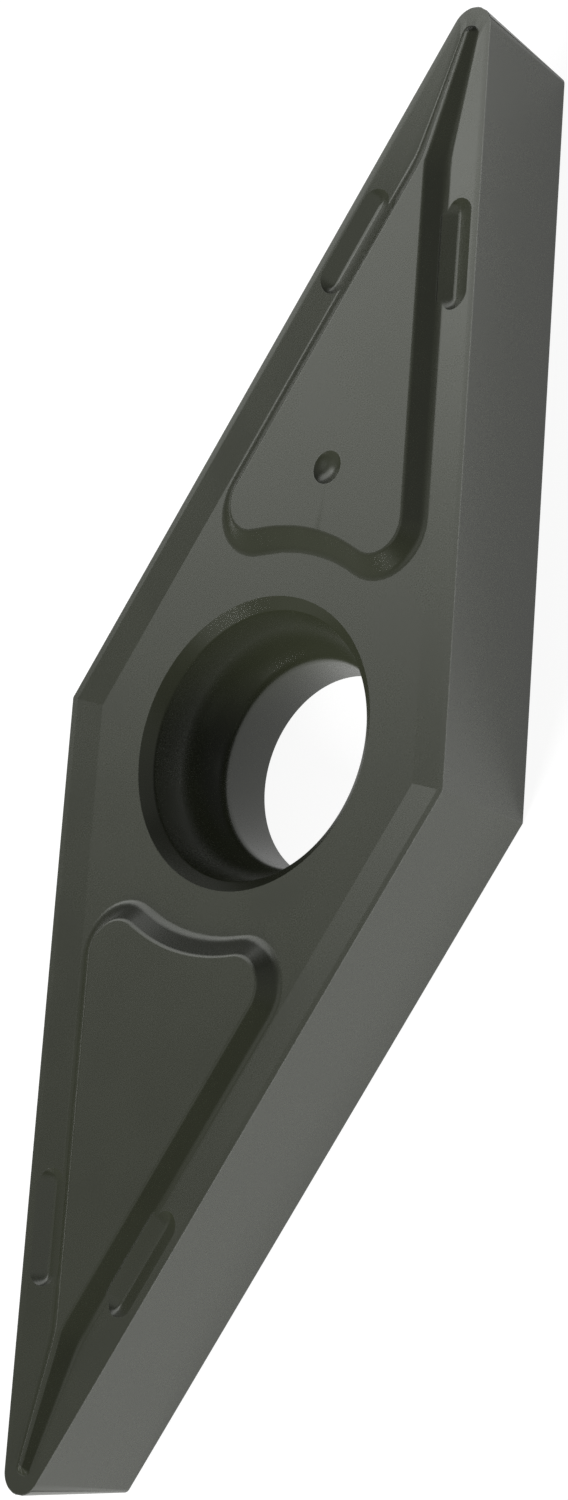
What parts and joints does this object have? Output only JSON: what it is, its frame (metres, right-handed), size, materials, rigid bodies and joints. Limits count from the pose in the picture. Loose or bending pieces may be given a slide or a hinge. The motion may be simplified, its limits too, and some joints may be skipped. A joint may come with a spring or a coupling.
{
  "type": "indexable turning insert",
  "caption": "Slim rhombic cermet turning insert with relieved flanks, two cutting noses, a pressed-in chipbreaker and a countersunk clamp-screw hole.",
  "frame": {"origin": "on the screw hole's axis at the bottom face", "axes": "+Z out of the top face along the screw hole, +Y from the hole to the cutting nose beside the dimple, +X across the short diagonal"},
  "size_m": [0.0084, 0.0246, 0.0025],
  "materials": {
    "cermet": "satin"
  },
  "bodies": {
    "root": {"insert": "cermet"}
  },
  "joints": []
}
